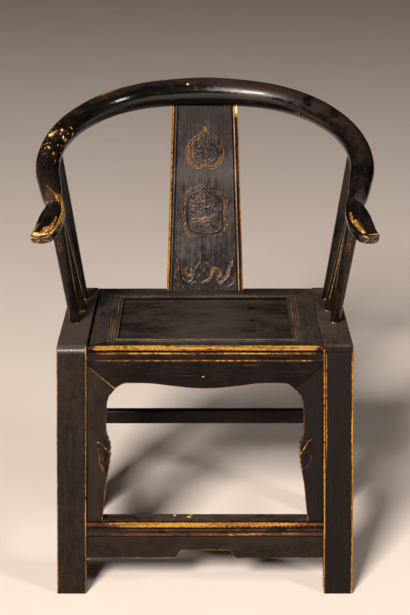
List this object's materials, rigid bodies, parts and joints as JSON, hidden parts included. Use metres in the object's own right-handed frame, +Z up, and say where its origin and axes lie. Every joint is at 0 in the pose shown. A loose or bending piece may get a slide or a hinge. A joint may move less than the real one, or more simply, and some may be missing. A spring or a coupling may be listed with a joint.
{
  "type": "horseshoe back armchair",
  "caption": "Black lacquered wooden horseshoe back armchair with worn edges, carved splat, sunk panel seat, leaning arm posts, shaped apron and foot rail.",
  "frame": {"origin": "centre of the chair's overall footprint, on the floor", "axes": "+Z up, the sitter faces -Y, +X to the right when the chair is looked at from its front"},
  "size_m": [0.6722, 0.5058, 0.958],
  "materials": {
    "lacquered_wood": "black-brown lacquer, rubbed to ochre wood on the edges",
    "panel_wood": "black-brown lacquer, matt, with fine scuffs"
  },
  "bodies": {
    "root": {"apron_back": "lacquered_wood", "apron_front": "lacquered_wood", "apron_left": "lacquered_wood", "apron_right": "lacquered_wood", "footrest": "lacquered_wood", "footrest_apron": "lacquered_wood", "post_front_left": "lacquered_wood", "post_front_right": "lacquered_wood", "post_middle_left": "lacquered_wood", "post_middle_right": "lacquered_wood", "post_rear_left": "lacquered_wood", "post_rear_right": "lacquered_wood", "rail_arm_left": "lacquered_wood", "rail_arm_right": "lacquered_wood", "rail_crest": "lacquered_wood", "rail_pin_left": "lacquered_wood", "rail_pin_right": "lacquered_wood", "seat_batten_left": "panel_wood", "seat_batten_right": "panel_wood", "seat_panel": "panel_wood", "seat_rail_back": "lacquered_wood", "seat_rail_front": "lacquered_wood", "seat_stile_left": "lacquered_wood", "seat_stile_right": "lacquered_wood", "side_frame_left": "lacquered_wood", "side_frame_right": "lacquered_wood", "spandrel_left": "lacquered_wood", "spandrel_right": "lacquered_wood", "splat": "lacquered_wood", "stretcher_back": "lacquered_wood", "stretcher_left": "lacquered_wood", "stretcher_right": "lacquered_wood"}
  },
  "joints": []
}
